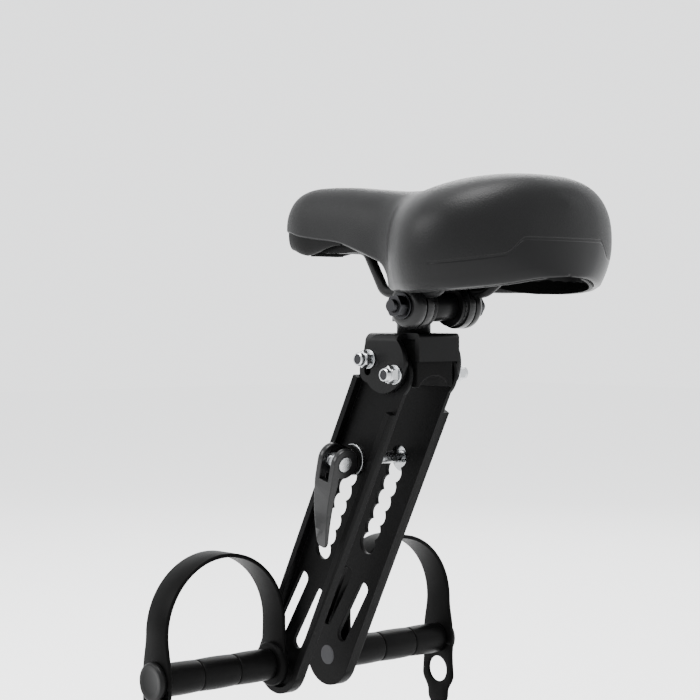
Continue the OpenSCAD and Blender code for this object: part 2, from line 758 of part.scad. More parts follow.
// Foot strap: an arch over the foot, a collar at the leg and a tail past the cap
module one_strap() {
    difference() {
        union() {
            intersection() {
                translate([peg[0] - strap_w / 2, -strap_mid_y, peg[1] + strap_side]) rotate([90, 0, 90])
                    difference() {
                        cylinder(r = strap_mid_r + strap_t / 2, h = strap_w, $fn = 96);
                        translate([0, 0, -1]) cylinder(r = strap_mid_r - strap_t / 2, h = strap_w + 2, $fn = 96);
                    }
                translate([peg[0] - 50, -200, peg[1] + strap_side]) cube([100, 200, 100]);
            }
            for (y = [strap_in, strap_out - strap_t])
                translate([peg[0] - strap_w / 2, -y - strap_t, peg[1]]) cube([strap_w, strap_t, strap_side]);
            rod_left(peg, collar_d, strap_in, grip_in - seat_gap);
            rod_left(peg, lobe_d, strap_out - strap_t, strap_out);
            rod_left(peg - [0, tail_pitch], lobe_d, strap_out - strap_t, strap_out);
            translate([peg[0] - tongue_w / 2, -strap_out, peg[1] - tail_l + tongue_w / 2])
                cube([tongue_w, strap_t, tail_l - tongue_w / 2]);
            rod_left(peg - [0, tail_l - tongue_w / 2], tongue_w, strap_out - strap_t, strap_out);
        }
        rod_left(peg, core_d + 2 * seat_gap, 0, 200);
        rod_left(peg - [0, tail_pitch], tail_hole_d, 100, 200);
    }
}

module foot_strap_left() { color(rubber) one_strap(); }
module foot_strap_right() { color(rubber) mirror([0, 1, 0]) one_strap(); }

saddle_cover();
saddle_base();
saddle_rails();
stub_post();
bracket();
tube_pad();
post_band();
clamp_stud();
clamp_inner_cheeks();
clamp_outer_cups();
clamp_washers();
clamp_nuts();
leg_left();
leg_right();
leg_bolts();
leg_washers();
leg_nuts();
skewer_rod();
skewer_nut();
skewer_washers();
cam_cushion();
barrel_pin();
cam_lever();
peg_core_left();
peg_core_right();
peg_bolts();
peg_grip_left();
peg_grip_right();
peg_cap_left();
peg_cap_right();
foot_strap_left();
foot_strap_right();
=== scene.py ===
# %% [markdown]
# A child seat for a top tube, dressed for a studio picture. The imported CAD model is
# the frame: it fixes every size and every joint. This file gives each metal piece its
# finish, and builds the soft and moulded pieces (saddle cover, tube pad, grips, caps,
# foot straps) again as fine meshes around that frame.
# Blender works in metres, so sizes are written in millimetres times MM.

import math

import bpy
from mathutils import Matrix, Vector


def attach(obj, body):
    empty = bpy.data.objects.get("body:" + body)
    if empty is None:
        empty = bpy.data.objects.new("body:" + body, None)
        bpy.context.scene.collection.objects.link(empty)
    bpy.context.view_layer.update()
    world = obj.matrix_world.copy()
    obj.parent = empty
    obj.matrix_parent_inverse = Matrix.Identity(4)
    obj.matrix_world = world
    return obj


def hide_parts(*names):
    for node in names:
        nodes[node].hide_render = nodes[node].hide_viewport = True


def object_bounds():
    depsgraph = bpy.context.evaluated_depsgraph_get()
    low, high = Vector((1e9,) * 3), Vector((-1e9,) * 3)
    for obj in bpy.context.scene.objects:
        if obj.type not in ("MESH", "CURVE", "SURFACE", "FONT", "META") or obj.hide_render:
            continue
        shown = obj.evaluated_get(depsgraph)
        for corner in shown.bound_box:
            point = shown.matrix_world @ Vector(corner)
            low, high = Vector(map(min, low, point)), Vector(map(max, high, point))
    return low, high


MM = 0.001
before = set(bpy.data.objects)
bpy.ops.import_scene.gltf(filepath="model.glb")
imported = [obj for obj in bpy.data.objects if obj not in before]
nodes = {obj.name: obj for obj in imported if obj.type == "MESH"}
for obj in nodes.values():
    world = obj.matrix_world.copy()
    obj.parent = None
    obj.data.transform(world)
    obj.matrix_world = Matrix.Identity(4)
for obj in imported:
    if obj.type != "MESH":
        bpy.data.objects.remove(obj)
cad_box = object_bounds()
print("CAD nodes:", len(nodes), "box:", [tuple(round(c, 3) for c in corner) for corner in cad_box])

# %% [markdown]
# The camera comes first, because everything is judged through it. The picture was
# taken from the left rear of the seat, level with the rail clamp and with a long lens,
# so the edges of the legs hardly converge. The place and the three axes below were
# worked out from the bolts, slots and pegs.

# %% Camera
VIEW_FROM = Vector((0.87290, -0.83846, 0.05606))
VIEW_RIGHT = Vector((0.667496, 0.744611, 0.001840))
VIEW_UP = Vector((-0.014979, 0.010956, 0.999828))
FOCAL_PIXELS = 1851.96
PICTURE = 700
SENSOR = 36.0

camera_data = bpy.data.cameras.new("camera")
camera_data.sensor_width = SENSOR
camera_data.lens = SENSOR * FOCAL_PIXELS / PICTURE
camera_data.clip_start, camera_data.clip_end = 0.05, 30
camera = bpy.data.objects.new("camera", camera_data)
bpy.context.scene.collection.objects.link(camera)
turn = Matrix((VIEW_RIGHT, VIEW_UP, VIEW_RIGHT.cross(VIEW_UP))).transposed()
camera.matrix_world = Matrix.Translation(VIEW_FROM) @ turn.to_4x4()
bpy.context.scene.camera = camera
print("lens", round(camera_data.lens, 1), "mm")

# %% [markdown]
# Every finish is a small network of shader nodes. Two helpers keep those networks
# readable. A Wire is one output, and its operators add Math nodes, so heights and
# masks can be written as sums. A Finish is one material; its node() adds any other
# node from a type, its settings and its inputs in order.

# %% Helpers for finishes
class Wire:
    def __init__(self, finish, socket):
        self.finish, self.socket = finish, socket

    def maths(self, operation, a, b=None):
        return self.finish.node("ShaderNodeMath", {"operation": operation}, a, b)

    def __add__(self, other): return self.maths("ADD", self, other)
    def __radd__(self, other): return self.maths("ADD", other, self)
    def __sub__(self, other): return self.maths("SUBTRACT", self, other)
    def __rsub__(self, other): return self.maths("SUBTRACT", other, self)
    def __mul__(self, other): return self.maths("MULTIPLY", self, other)
    def __rmul__(self, other): return self.maths("MULTIPLY", other, self)
    def __abs__(self): return self.maths("ABSOLUTE", self)
    def over(self, other): return self.maths("MAXIMUM", self, other)

    def ramp(self, low, high):
        """0 up to low, 1 from high, with a smooth step between."""
        node = {"interpolation_type": "SMOOTHSTEP"}
        return self.finish.node("ShaderNodeMapRange", node, self, low, high, 0.0, 1.0)


class Finish:
    def __init__(self, name, colour, roughness, metallic=0.0, gloss=0.5):
        self.material = bpy.data.materials.new(name)
        self.material.use_nodes = True
        self.tree = self.material.node_tree
        self.surface = self.tree.nodes["Principled BSDF"]
        self.surface.inputs["Specular IOR Level"].default_value = gloss
        self.put("Base Color", colour)
        self.put("Roughness", roughness)
        self.put("Metallic", metallic)

    def node(self, kind, settings, *inputs, out=0):
        made = self.tree.nodes.new(kind)
        for key, value in settings.items():
            setattr(made, key, value)
        for place, value in enumerate(inputs):
            if isinstance(value, Wire):
                self.tree.links.new(value.socket, made.inputs[place])
            elif value is not None:
                made.inputs[place].default_value = value
        return Wire(self, made.outputs[out])

    def put(self, socket, value):
        if isinstance(value, Wire):
            self.tree.links.new(value.socket, self.surface.inputs[socket])
        elif isinstance(value, tuple):
            self.surface.inputs[socket].default_value = (*value, 1.0)
        else:
            self.surface.inputs[socket].default_value = value

    def place(self):
        """Position in the row frame, because the frame's objects sit at its origin."""
        return self.node("ShaderNodeTexCoord", {}, out=3)

    def axis(self, name):
        return self.node("ShaderNodeSeparateXYZ", {}, self.place(), out="XYZ".index(name))

    def noise(self, scale, detail=3.0, rough=0.5):
        return self.node("ShaderNodeTexNoise", {}, self.place(), None, scale, detail, rough)

    def cells(self, scale):
        return self.node("ShaderNodeTexVoronoi", {"feature": "F1"}, self.place(), None, scale)

    def blend(self, factor, a, b):
        mix = self.node("ShaderNodeMix", {"data_type": "RGBA"}, factor, out=2)
        made = mix.socket.node
        for place, value in ((6, a), (7, b)):
            if isinstance(value, Wire):
                self.tree.links.new(value.socket, made.inputs[place])
            else:
                made.inputs[place].default_value = (*value, 1.0)
        return mix

    def relief(self, height, depth, strength=1.0):
        self.put("Normal", self.node("ShaderNodeBump", {}, strength, depth, None, height))


def grey(value, blue=0.0):
    return (value, value, value * (1 + blue))


# %% [markdown]
# Powder coat covers the bracket, the post, the rails and the clamp. The powder melts
# into a skin with a fine orange peel, so the finish is an even dark satin with shallow
# waves about a millimetre across, and a slightly uneven sheen. The legs get a coarser,
# duller version, because their cast surface lies under it and stays nearly black.

# %% Powder coat
def powder_coat(name, colour, roughness, gloss, peel):
    coat = Finish(name, colour, roughness, gloss=gloss)
    cloud = coat.noise(60, 2)
    coat.put("Roughness", roughness - 0.05 + 0.1 * cloud)
    coat.put("Base Color", coat.blend(cloud, colour, grey(colour[0] * 1.5, 0.03)))
    coat.relief(coat.noise(1100, 2) + 0.4 * coat.noise(3600, 1), peel)
    return coat.material


PRESSED = powder_coat("satin black powder coat", grey(0.0018, 0.04), 0.36, 0.09, 0.00006)
CAST = powder_coat("dull black powder coat on casting", grey(0.001, 0.04), 0.45, 0.045, 0.0001)
CUP = powder_coat("black enamel on clamp cups", grey(0.003, 0.06), 0.3, 0.2, 0.00004)

# %% [markdown]
# The lock nuts, their washers and the skewer are bright zinc plate: a pale metal whose
# sheen varies in soft patches, with a fine tumbled grain from barrel plating. The bolts
# and the stud, washers and nuts of the rail clamp are blackened steel instead.

# %% Zinc plate and blackened steel
def plated(name, colour, roughness, grain):
    metal = Finish(name, colour, roughness, metallic=1.0)
    patches = metal.noise(180, 4, 0.6)
    metal.put("Roughness", roughness - 0.08 + 0.16 * patches)
    metal.put("Base Color", metal.blend(patches, colour, tuple(c * 0.78 for c in colour)))
    metal.relief(metal.noise(2600, 2), grain)
    return metal.material


ZINC = plated("bright zinc plate", (0.46, 0.47, 0.48), 0.27, 0.00004)
BLACKENED = plated("blackened steel", (0.03, 0.03, 0.032), 0.36, 0.00004)

# %% [markdown]
# Three rubbers: the matt block that sits on the tube, the satin grips and caps, and
# the stretchy foot straps. Moulded rubber is dark and breaks the light up with a very
# fine even grain; a faint bloom makes patches of it a little paler.

# %% Rubber
def rubber(name, colour, roughness, gloss, grain, scale=2200):
    made = Finish(name, colour, roughness, gloss=gloss)
    bloom = made.noise(45, 3, 0.6)
    made.put("Base Color", made.blend(bloom.ramp(0.35, 0.75), colour, grey(colour[0] * 1.7)))
    made.put("Roughness", roughness - 0.04 + 0.08 * bloom)
    made.relief(made.noise(scale, 3, 0.6), grain)
    return made.material


PAD_RUBBER = rubber("matt pad rubber", grey(0.0015), 0.6, 0.05, 0.00012)
GRIP_RUBBER = rubber("satin grip rubber", grey(0.001), 0.42, 0.05, 0.00006)
CAP_RUBBER = rubber("smooth cap rubber", grey(0.0025), 0.4, 0.1, 0.00003)
STRAP_RUBBER = rubber("stretchy strap rubber", grey(0.001), 0.44, 0.03, 0.00006)

# %% [markdown]
# The base shell and the cam's cushion are injection-moulded nylon, with the even spark
# texture of the mould. The saddle's skin is foam-backed polyurethane leather: a fine
# pebble grain on the crown, and a glossier panel sewn in low across the tail. The
# panel's border is a curve in the row frame, so the seam is pressed in along it.

# %% Moulded nylon and saddle leather
def moulded():
    shell = Finish("moulded black nylon", grey(0.002), 0.5, gloss=0.06)
    shell.relief(shell.cells(1500) + 0.5 * shell.noise(3000, 2), 0.00005)
    shell.put("Roughness", 0.44 + 0.12 * shell.noise(120, 3))
    return shell.material


def leather():
    skin = Finish("grained black polyurethane leather", grey(0.003), 0.48, gloss=0.12)
    side = abs(skin.axis("Y"))
    border = 0.1020 - 0.0095 * side.ramp(0.033, 0.046) - 0.16 * (side - 0.044).over(0.0)
    below = border - skin.axis("Z")
    at_tail = skin.axis("X").ramp(0.088, 0.092)
    panel = below.ramp(-0.0003, 0.0003) * at_tail
    seam = (1.0 - abs(below).ramp(0.0004, 0.0013)) * at_tail
    cloud = skin.noise(28, 3, 0.6)
    skin.put("Base Color", skin.blend(cloud, grey(0.0022, 0.03), grey(0.0042, 0.05)))
    skin.put("Roughness", 0.38 + 0.08 * cloud - 0.12 * panel)
    pebble = skin.cells(1150) * 0.7 + skin.noise(2400, 2) * 0.5
    skin.relief(pebble * (1.0 - 0.75 * panel) - seam * 4.0, 0.00011)
    return skin.material


NYLON = moulded()
LEATHER = leather()

# %% [markdown]
# The CAD pieces keep their shape. A narrow bevel rounds the edges that a press, a mould
# or a lathe would have rounded, because a dead sharp edge never catches a highlight.
# Their vertices are welded first, so that the bevel sees one closed skin.

# %% Finish the CAD pieces
WELD_DISTANCE = 0.005 * MM
SHARP_ANGLE = math.radians(34)


def finish_node(name, material, edge, trim=None):
    piece = nodes[name]
    piece.data.materials.clear()
    piece.data.materials.append(material)
    weld = piece.modifiers.new("one skin", "WELD")
    weld.merge_threshold = WELD_DISTANCE
    if trim:
        cut = piece.modifiers.new("trimmed to the bend", "BOOLEAN")
        cut.operation, cut.solver, cut.object = "DIFFERENCE", "EXACT", trim
    if edge:
        bevel = piece.modifiers.new("soft edge", "BEVEL")
        bevel.width = edge * MM
        bevel.segments = 2
        bevel.limit_method = "ANGLE"
        bevel.angle_limit = SHARP_ANGLE
        bevel.harden_normals = True
        bevel.use_clamp_overlap = True


for name, material, edge in [
        ("stub_post", PRESSED, 0.3), ("post_band", PRESSED, 0.2),
        ("saddle_rails", PRESSED, 0), ("clamp_inner_cheeks", CUP, 0.2), ("clamp_outer_cups", CUP, 0.3),
        ("clamp_stud", BLACKENED, 0.5), ("clamp_washers", BLACKENED, 0.2), ("clamp_nuts", BLACKENED, 0.4),
        ("leg_left", CAST, 0.5), ("leg_right", CAST, 0.5), ("leg_bolts", BLACKENED, 0.4),
        ("leg_washers", ZINC, 0.2), ("skewer_rod", ZINC, 0.3),
        ("skewer_nut", BLACKENED, 0.5), ("skewer_washers", ZINC, 0.25), ("cam_cushion", NYLON, 0.4),
        ("barrel_pin", ZINC, 0.4), ("cam_lever", CUP, 0.9), ("peg_core_left", ZINC, 0.3),
        ("peg_core_right", ZINC, 0.3), ("peg_bolts", BLACKENED, 0.3), ("saddle_base", NYLON, 0)]:
    finish_node(name, material, edge)
print("finished CAD pieces:", sum(1 for n in nodes.values() if n.data.materials))

# %% [markdown]
# The moulded pieces are drawn as meshes from a few sizes. One helper makes an object
# from vertices and faces, another turns a profile round an axis across the seat, and
# a third makes the right-hand twin of a left-hand piece by mirroring it.

# %% Helpers for meshes
def skin_mesh(name, points, faces, material, smooth=True):
    mesh = bpy.data.meshes.new(name)
    mesh.from_pydata([Vector(p) * MM for p in points], [], faces)
    mesh.update()
    for face in mesh.polygons:
        face.use_smooth = smooth
    mesh.materials.append(material)
    piece = bpy.data.objects.new(name, mesh)
    bpy.context.scene.collection.objects.link(piece)
    return piece


def turned(centre, profile, count=96):
    """A profile of (distance outwards, radius), turned about a line across the seat, on the left."""
    points, faces = [], []
    for out, radius in profile:
        for k in range(count):
            a = 2 * math.pi * k / count
            points.append((centre[0] + radius * math.cos(a), -out, centre[1] + radius * math.sin(a)))
    for i in range(len(profile) - 1):
        for k in range(count):
            a, b = i * count + k, i * count + (k + 1) % count
            faces.append((a, b, b + count, a + count))
    return points, faces


def twin(points, faces):
    return [(x, -y, z) for x, y, z in points], [tuple(reversed(f)) for f in faces]


def pair(name, points, faces, material, body, replaced):
    for side, (p, f) in (("left", (points, faces)), ("right", twin(points, faces))):
        piece = skin_mesh(name + "_" + side, p, f, material)
        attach(piece, body)
        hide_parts(replaced + "_" + side)
    print(name, "left and right:", len(faces), "faces each")


# %% [markdown]
# The saddle cover is foam under a stretched skin, so it has no flat place. Each row of
# the table is one arch across the saddle, from nose to tail: width, crown, edge, the
# height of the widest line, and how far the edge tucks in. The rows are joined by a
# smooth curve along an angle that runs evenly round the blunt ends, which keeps nose
# and tail round. The lower edge is rolled over the base shell, as the real skin is.

# %% Saddle cover
LENGTH, WIDTH, NOSE, RAIL_Z, RISE = 252, 154, 118, 71.0, 73.0
LIP_WIDTH, LIP_UP, ROLL, FULLNESS = 6.0, 14, 2.0, 0.8
ROWS = [
    (0.000, 0.0, 0.66, 0.60, 0.12, 0), (0.012, 0.15, 0.80, 0.575, 0.12, 0),
    (0.04, 0.205, 0.92, 0.565, 0.12, 0), (0.09, 0.245, 0.98, 0.525, 0.12, 0),
    (0.16, 0.26, 0.99, 0.49, 0.12, 0), (0.26, 0.28, 0.975, 0.45, 0.12, 0),
    (0.34, 0.305, 0.948, 0.375, 0.13, 0), (0.42, 0.325, 0.92, 0.285, 0.17, 0),
    (0.455, 0.345, 0.91, 0.235, 0.22, 0), (0.49, 0.385, 0.905, 0.13, 0.26, 0),
    (0.515, 0.445, 0.904, 0.05, 0.28, 0), (0.54, 0.52, 0.903, 0.015, 0.30, 1),
    (0.60, 0.70, 0.91, 0.0, 0.32, 5), (0.66, 0.86, 0.925, 0.0, 0.34, 6),
    (0.73, 0.98, 0.955, -0.012, 0.36, 6), (0.80, 1.01, 0.98, -0.004, 0.38, 8),
    (0.88, 0.925, 0.985, 0.018, 0.40, 11), (0.945, 0.72, 0.95, 0.054, 0.42, 12),
    (0.984, 0.43, 0.86, 0.10, 0.45, 8), (0.995, 0.24, 0.78, 0.11, 0.50, 4),
    (1.0, 0.0, 0.70, 0.12, 0.50, 0)]
KNOTS = [math.acos(1 - 2 * row[0]) for row in ROWS]


def row_value(theta, column):
    i = max(k for k in range(len(KNOTS) - 1) if KNOTS[k] <= theta + 1e-9)

    def slope(k):
        low, high = max(k - 1, 0), min(k + 1, len(KNOTS) - 1)
        return (ROWS[high][column] - ROWS[low][column]) / (KNOTS[high] - KNOTS[low])

    step = KNOTS[i + 1] - KNOTS[i]
    s = (theta - KNOTS[i]) / step
    start, end = ROWS[i][column], ROWS[i + 1][column]
    leave, arrive = slope(i) * step, slope(i + 1) * step
    return ((2 * s**3 - 3 * s * s + 1) * start + (s**3 - 2 * s * s + s) * leave
            + (3 * s * s - 2 * s**3) * end + (s**3 - s * s) * arrive)


def saddle_arch(theta, sides=36, flank=6):
    """Half an arch from the inner lip up to the crown: (half width, height) pairs."""
    x = -NOSE + LENGTH * (1 - math.cos(theta)) / 2
    half = WIDTH / 2 * row_value(theta, 1)
    crown, edge = (RAIL_Z + RISE * row_value(theta, k) for k in (2, 3))
    waist = row_value(theta, 4) * (crown - edge)
    tuck = min(max(row_value(theta, 5), 0), half / 2)
    lip = min(LIP_WIDTH, half * 0.8)
    roll = min(ROLL, waist * 0.8)
    shape = []
    for out, up in ((lip, LIP_UP), (lip, roll), (lip * 0.83, 0.45 * roll), (lip * 0.5, 0),
                    (lip * 0.17, 0.45 * roll)):
        shape.append((half - tuck - out, edge + min(up, (crown - edge) * 0.4)))
    for k in range(flank):
        fall = waist * (1 - k / flank) - roll * (1 - k / flank)
        shape.append((half - tuck * (fall / waist) ** 2, edge + waist - fall))
    for k in range(sides + 1):
        a = math.pi / 2 * k / sides
        shape.append((half * math.cos(a) ** FULLNESS if k < sides else 0.0,
                      edge + waist + (crown - edge - waist) * math.sin(a) ** FULLNESS))
    return [(x, w, z) for w, z in shape]


STATIONS = 150
points, faces = [], []
for i in range(STATIONS + 1):
    arch = saddle_arch(math.pi * i / STATIONS)
    points += [(x, -w, z) for x, w, z in arch] + [(x, w, z) for x, w, z in reversed(arch[:-1])]
across = len(points) // (STATIONS + 1)
for i in range(STATIONS):
    for k in range(across - 1):
        a = i * across + k
        faces.append((a, a + across, a + across + 1, a + 1))
cover = skin_mesh("padded_cover", points, faces, LEATHER)
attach(cover, "saddle")
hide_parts("saddle_cover")
seal = cover.modifiers.new("one skin", "WELD")
seal.merge_threshold = WELD_DISTANCE
print("saddle cover:", len(faces), "faces")

# %% [markdown]
# The bracket is one pressed plate: its ears start below the bends, so seen from the
# side the bend's flat top shows above the rounded ear. The solid's ear rises past the
# bend, so what stands outside the bend's curve is cut away before the edges are rounded.

# %% Bracket
EAR_OUT, BEND_R, PLATE_TOP = 26.1, 6.0, 45.0
CUT_R, CUT_HALF = BEND_R + 0.02, 32.0


def bend_trimmer(steps=16):
    middle = EAR_OUT - BEND_R
    outline = [(middle + CUT_R * math.cos(a), PLATE_TOP - BEND_R + CUT_R * math.sin(a))
               for a in (math.pi / 2 * k / steps for k in range(steps + 1))]
    outline += [(middle, PLATE_TOP + 4), (EAR_OUT + 2, PLATE_TOP + 4), (EAR_OUT + 2, PLATE_TOP - BEND_R)]
    rim = len(outline)
    points = [(x, y, z) for x in (-CUT_HALF, CUT_HALF) for y, z in outline]
    faces = [tuple(range(rim)), tuple(reversed(range(rim, 2 * rim)))]
    faces += [(k, k + rim, (k + 1) % rim + rim, (k + 1) % rim) for k in range(rim)]
    left_points, left_faces = twin(points, faces)
    return points + left_points, faces + [tuple(i + 2 * rim for i in f) for f in left_faces]


trimmer = skin_mesh("bend_trimmer", *bend_trimmer(), PRESSED, smooth=False)
trimmer.hide_render = True
finish_node("bracket", PRESSED, 0.35, trim=trimmer)
print("bracket: ears cut back to a bend of", BEND_R, "mm")

# %% [markdown]
# The leg bolts end in lock nuts: a washer face, a hexagon ten millimetres across its
# flats, then a round collar that is crimped over a nylon ring. The end of the bolt sits
# just inside the collar, so a dark ring shows round it.

# %% Lock nuts
PIVOT, GUIDE, ACROSS_FLATS = (10.1, 18.4), (-14.48, 28.03), 10.0
CORNER = ACROSS_FLATS / math.sqrt(3)
# distance out from the ear, radius, and 1 where the ring is cut to the hexagon
NUT_RINGS = [(1.45, 3.1, 0), (1.45, 4.9, 0), (1.9, CORNER, 1), (6.4, CORNER, 1), (7.2, 4.85, 0),
             (7.3, 4.45, 0), (9.9, 4.3, 0), (10.5, 3.9, 0), (10.65, 3.5, 0), (10.4, 3.2, 0), (8.6, 3.05, 0)]


def lock_nut(centre, count=48):
    """A nut as rings of points: the hexagon's rings bulge to its corners, the others are round."""
    points, faces = [], []
    for out, radius, hexed in NUT_RINGS:
        for k in range(count):
            a = 2 * math.pi * k / count
            flat = (a + math.pi / 6) % (math.pi / 3) - math.pi / 6
            reach = min(radius, ACROSS_FLATS / 2 / math.cos(flat)) if hexed else radius
            x, z = centre[0] + reach * math.cos(a), centre[1] + reach * math.sin(a)
            points.append((x, -(EAR_OUT + out), z))
    for i in range(len(NUT_RINGS) - 1):
        for k in range(count):
            a, b = i * count + k, i * count + (k + 1) % count
            faces.append((a, b, b + count, a + count))
    return points, faces


points, faces = [], []
for centre in (PIVOT, GUIDE):
    for made in (lock_nut(centre), twin(*lock_nut(centre))):
        faces += [tuple(len(points) + i for i in face) for face in made[1]]
        points += made[0]
lock_nuts = skin_mesh("lock_nuts", points, faces, ZINC, smooth=False)
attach(lock_nuts, "legs")
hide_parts("leg_nuts")
print("lock nuts:", len(faces), "faces on four nuts")

# %% [markdown]
# Under the nose the base shell shows as a rounded lip: it hangs below the cover, hooks
# back round the ends of the rails and runs out along the sides. It is a bent strip, so
# it follows the edge of the cover round the nose and is deepest at the front.

# %% Nose lip of the base shell
LIP_DEPTH = [(-118, 9.5), (-112, 11.5), (-97, 11.8), (-90, 11.6), (-84, 10.2), (-71, 5.8), (-60, 2.6),
             (-50, 0.4)]
LIP_END, LIP_START, LIP_TUCK, LIP_WALL, LIP_TOP = 1.10, 1.2, 4.2, 2.4, 4.0


def lip_depth(x):
    for (x0, d0), (x1, d1) in zip(LIP_DEPTH, LIP_DEPTH[1:]):
        if x <= x1:
            s = min(max((x - x0) / (x1 - x0), 0), 1)
            return d0 + (d1 - d0) * s
    return LIP_DEPTH[-1][1]


def nose_lip(steps=60, down=8):
    path = []
    for k in range(-steps, steps + 1):
        theta = abs(k) / steps * LIP_END
        x = -NOSE + LENGTH * (1 - math.cos(theta)) / 2
        half = WIDTH / 2 * row_value(theta, 1) * (1 if k >= 0 else -1)
        path.append((x, -half, RAIL_Z + RISE * row_value(theta, 3)))
    points, faces = [], []
    for i, (x, y, edge) in enumerate(path):
        x0, y0, _ = path[max(i - 1, 0)]
        x1, y1, _ = path[min(i + 1, len(path) - 1)]
        run = math.hypot(x1 - x0, y1 - y0)
        inward = ((y0 - y1) / run, (x1 - x0) / run)
        if inward[0] * (-60 - x) + inward[1] * -y < 0:
            inward = (-inward[0], -inward[1])
        depth = lip_depth(x)
        ring = []
        for k in range(down + 1):
            fall = k / down
            ring.append((LIP_START + LIP_TUCK * fall**2 * depth / 12,
                         -depth * math.sin(fall * math.pi / 2) ** 0.9))
        ring += [(o + LIP_WALL, h + 0.6) for o, h in reversed(ring)]
        ring = [(ring[0][0], LIP_TOP)] + ring + [(ring[-1][0], LIP_TOP)]
        points += [(x + inward[0] * o, y + inward[1] * o, edge + h) for o, h in ring]
    across = len(points) // len(path)
    for i in range(len(path) - 1):
        for k in range(across):
            a, b = i * across + k, i * across + (k + 1) % across
            faces.append((a, b, b + across, a + across))
    return points, faces


lip = skin_mesh("nose_lip", *nose_lip(), NYLON)
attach(lip, "saddle")
print("nose lip:", max(depth for _, depth in LIP_DEPTH), "mm deep at most")

# %% [markdown]
# A thick spacer tube sits on the clamp's stud between the two ears of the post band. It
# keeps the ears apart when the nuts are pulled tight, and hides the thread.

# %% Spacer of the clamp
STUD, SPACER_HALF, SPACER_R = (21.0, 62.4), 10.9, 9.5
half_profile = [(SPACER_HALF, 6.0), (SPACER_HALF, SPACER_R - 0.5), (SPACER_HALF - 0.5, SPACER_R)]
profile = [(-out, radius) for out, radius in half_profile] + half_profile[::-1]
spacer = skin_mesh("stud_spacer", *turned(STUD, profile, 64), PRESSED)
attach(spacer, "clamp_head")
print("spacer:", 2 * SPACER_HALF, "mm long")

# %% [markdown]
# The pad is one block of moulded rubber under the bracket, hollowed to sit on the
# round tube. Its end faces show, so the section is drawn once and pulled along the
# tube, then the edges are rounded by a bevel as the mould would leave them.

# %% Tube pad
TUBE_R, PAD_HALF, PAD_TOP, PAD_END, PAD_WRAP = 17.5, 16.0, 41.0, 20.0, 0.305
lip_angle = math.radians(180 * PAD_WRAP)
section = [(-PAD_HALF, TUBE_R * math.cos(lip_angle)), (-PAD_HALF, PAD_TOP), (PAD_HALF, PAD_TOP),
           (PAD_HALF, TUBE_R * math.cos(lip_angle))]
section += [(TUBE_R * math.sin(a), TUBE_R * math.cos(a))
            for a in (lip_angle * (1 - k / 16) for k in range(33))]
rim = len(section)
points = [(x, y, z) for x in (-PAD_END, PAD_END) for y, z in section]
faces = [tuple(range(rim)), tuple(reversed(range(rim, 2 * rim)))]
faces += [(k, k + rim, (k + 1) % rim + rim, (k + 1) % rim) for k in range(rim)]
pad = skin_mesh("rubber_pad", points, faces, PAD_RUBBER)
soft = pad.modifiers.new("moulded edge", "BEVEL")
soft.width, soft.segments, soft.limit_method = 0.9 * MM, 3, "ANGLE"
soft.angle_limit, soft.harden_normals = math.radians(40), True
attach(pad, "mount_bracket")
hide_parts("tube_pad")
print("pad: arch for a tube of", 2 * TUBE_R, "mm")

# %% [markdown]
# The grips are moulded in one with two grooves that part them into three barrels, so
# the sole can't slide sideways. The caps press onto the ends of the pegs and hold the
# straps. Both are turned shapes with rounded rims.

# %% Grips and caps
PEG = (-106.702, -182.789)
GRIP_IN, SEGMENT, GRIP_R, CORE_R = 35.4, 30.6, 11.0, 6.05
STRAP_T, STRAP_IN, STRAP_OUT = 2.8, 28.6, 130.0


def barrel(start, length, radius, dip, rim=1.4, steps=10):
    """A slightly swollen barrel with rounded rims, as (distance outwards, radius) pairs."""
    side = [(start, radius - dip)]
    side += [(start + rim * (1 - math.cos(a)), radius - dip + (dip - 0.35) * math.sin(a))
             for a in (math.pi / 2 * k / 5 for k in range(1, 6))]
    side += [(start + rim + (length - 2 * rim) * k / steps,
              radius - 0.35 + 0.35 * math.sin(math.pi * k / steps)) for k in range(1, steps)]
    side += [(start + length - rim * (1 - math.cos(a)), radius - dip + (dip - 0.35) * math.sin(a))
             for a in (math.pi / 2 * k / 5 for k in range(5, 0, -1))]
    return side + [(start + length, radius - dip)]


profile = [(GRIP_IN + 0.3, CORE_R)]
for k in range(3):
    profile += barrel(GRIP_IN + 0.1 + k * SEGMENT, SEGMENT - 0.1, GRIP_R, 1.5)
profile += [(GRIP_IN + 3 * SEGMENT - 0.2, CORE_R)]
pair("grip_sleeve", *turned(PEG, profile), GRIP_RUBBER, "legs", "peg_grip")

CAP_R, CAP_T, RIM_R = 13.0, 4.4, 1.9
round_over = [(STRAP_OUT + CAP_T - RIM_R + RIM_R * math.sin(a), CAP_R - RIM_R + RIM_R * math.cos(a))
              for a in (math.pi / 2 * k / 8 for k in range(9))]
profile = [(STRAP_OUT + 0.1, 6.2), (STRAP_OUT + 0.1, CAP_R - 0.4), (STRAP_OUT + 0.5, CAP_R)] + round_over
profile += [(STRAP_OUT + CAP_T - 0.5, 8.2), (STRAP_OUT + CAP_T - 0.7, 7.6), (STRAP_OUT + CAP_T - 0.7, 0.01)]
pair("end_cap", *turned(PEG, profile), CAP_RUBBER, "legs", "peg_cap")

# %% [markdown]
# Each foot strap is one strip of rubber. It starts at a thick collar beside the leg,
# arches over the foot, widens round the peg's end and hangs down as a tail with a
# second hole for a tighter fit. The strip is drawn flat by its middle line and its
# half width, then given thickness; the hole in the tail is cut between two arcs.

# %% Foot straps
STRAP_SIDE, TAIL_PITCH, TAIL_HOLE_R, LOBE_R, TAIL_LOW = 30.0, 23.5, 9.4, 15.4, 51.5
HALF_STRAP, HALF_TONGUE, TAIL_SINK = 11.25, 9.6, 0.04
MID_Y = (STRAP_OUT + STRAP_IN) / 2
ARCH_R = (STRAP_OUT - STRAP_IN - STRAP_T) / 2


